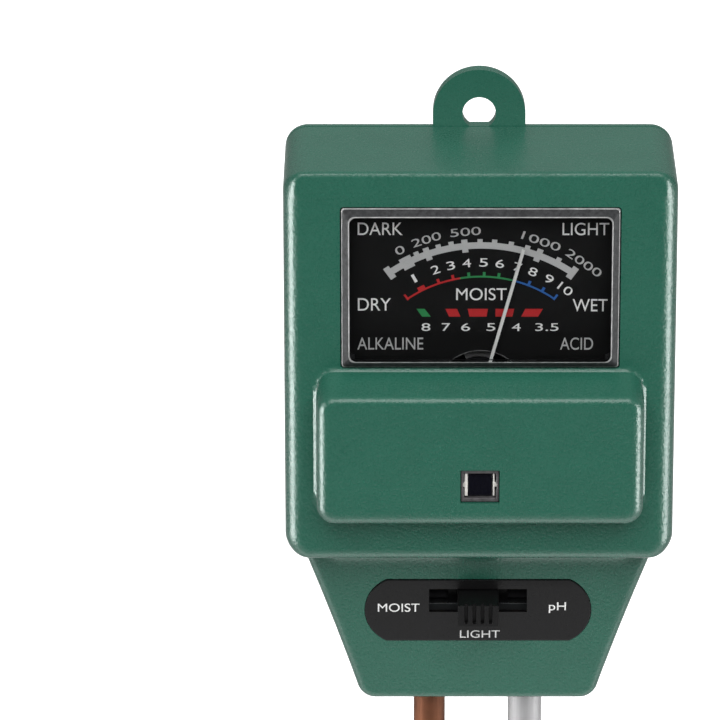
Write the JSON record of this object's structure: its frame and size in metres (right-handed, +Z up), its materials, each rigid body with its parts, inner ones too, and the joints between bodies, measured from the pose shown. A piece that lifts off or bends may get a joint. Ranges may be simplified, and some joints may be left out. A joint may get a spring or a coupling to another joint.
{
  "type": "soil moisture meter",
  "caption": "Hand-held soil meter: green case with hanging lug, moving-coil dial behind a clear window, light cell, slide switch on a tapered neck, and pointed metal probes.",
  "frame": {"origin": "middle of the case's flat bottom face, between the probes", "axes": "+Z up from the probes to the hanging lug, -Y out of the dial, +X to the right of a person who reads the dial"},
  "size_m": [0.064, 0.0334, 0.2972],
  "materials": {
    "green_plastic": "grained semi-gloss ABS",
    "clear_plastic": "clear, polished",
    "dial_black": "matt black print with white, grey, red, green and blue scales",
    "black_plastic": "black, satin",
    "pointer_white": "matt white paint",
    "steel": "zinc plated",
    "soft_iron": "machined, oiled",
    "brass": "turned",
    "copper": null,
    "aluminium": "drawn, satin",
    "coil_wire": null,
    "spring_bronze": "phosphor bronze strip",
    "magnet": "sintered magnet",
    "silicon": "dark polished cell",
    "phenolic": "brown phenolic laminate",
    "frame_resin": "natural moulded resin",
    "resistor_body": "lacquered",
    "red_insulation": "PVC sleeve",
    "black_insulation": "PVC sleeve"
  },
  "bodies": {
    "case": {"front_shell": "green_plastic", "rear_cover": "green_plastic", "window_lens": "clear_plastic", "dial_plate": "dial_black", "cover_screw_upper_left": "steel", "cover_screw_upper_right": "steel", "cover_screw_lower_left": "steel", "cover_screw_lower_right": "steel", "switch_plate": "black_plastic", "photocell_holder": "black_plastic", "photocell_chip": "silicon", "photocell_contact_left": "steel", "photocell_contact_right": "steel", "movement_frame": "frame_resin", "pole_ring": "soft_iron", "core_magnet": "magnet", "magnet_clip_upper": "aluminium", "magnet_clip_lower": "aluminium", "front_bridge": "brass", "jewel_screw_front": "brass", "jewel_screw_rear": "brass", "zero_adjuster": "brass", "bridge_screw_left": "steel", "bridge_screw_right": "steel", "movement_screw_left": "steel", "movement_screw_right": "steel", "switch_frame": "soft_iron", "switch_base": "black_plastic", "switch_pin_1": "brass", "switch_pin_2": "brass", "switch_pin_3": "brass", "switch_pin_4": "brass", "switch_screw_left": "steel", "switch_screw_right": "steel", "circuit_board": "phenolic", "resistor_lower": "resistor_body", "resistor_upper": "resistor_body", "probe_copper": "copper", "probe_aluminium": "aluminium", "probe_carrier": "black_plastic", "probe_terminal_left": "steel", "probe_terminal_right": "steel", "probe_nut_left": "brass", "probe_nut_right": "brass", "wire_probe_left": "red_insulation", "wire_probe_right": "black_insulation", "wire_cell_left": "red_insulation", "wire_cell_right": "black_insulation", "wire_meter_left": "red_insulation", "wire_meter_right": "black_insulation"},
    "needle": {"coil_winding": "coil_wire", "pivot_front": "steel", "pivot_rear": "steel", "pointer": "pointer_white", "balance_weight": "brass", "hairspring_front": "spring_bronze", "hairspring_rear": "spring_bronze"},
    "switch": {"switch_knob": "black_plastic", "switch_contact": "spring_bronze"}
  },
  "joints": [
    {"name": "needle_turn", "type": "hinge", "parent": "case", "child": "needle", "pos_m": [0, -0.01, 0.05785], "axis": [0, 1, 0], "range_deg": [-52.3, 21.7]},
    {"name": "switch_slide", "type": "slide", "parent": "case", "child": "switch", "axis": [1, 0, 0], "range_m": [-0.0042, 0.0042]}
  ]
}
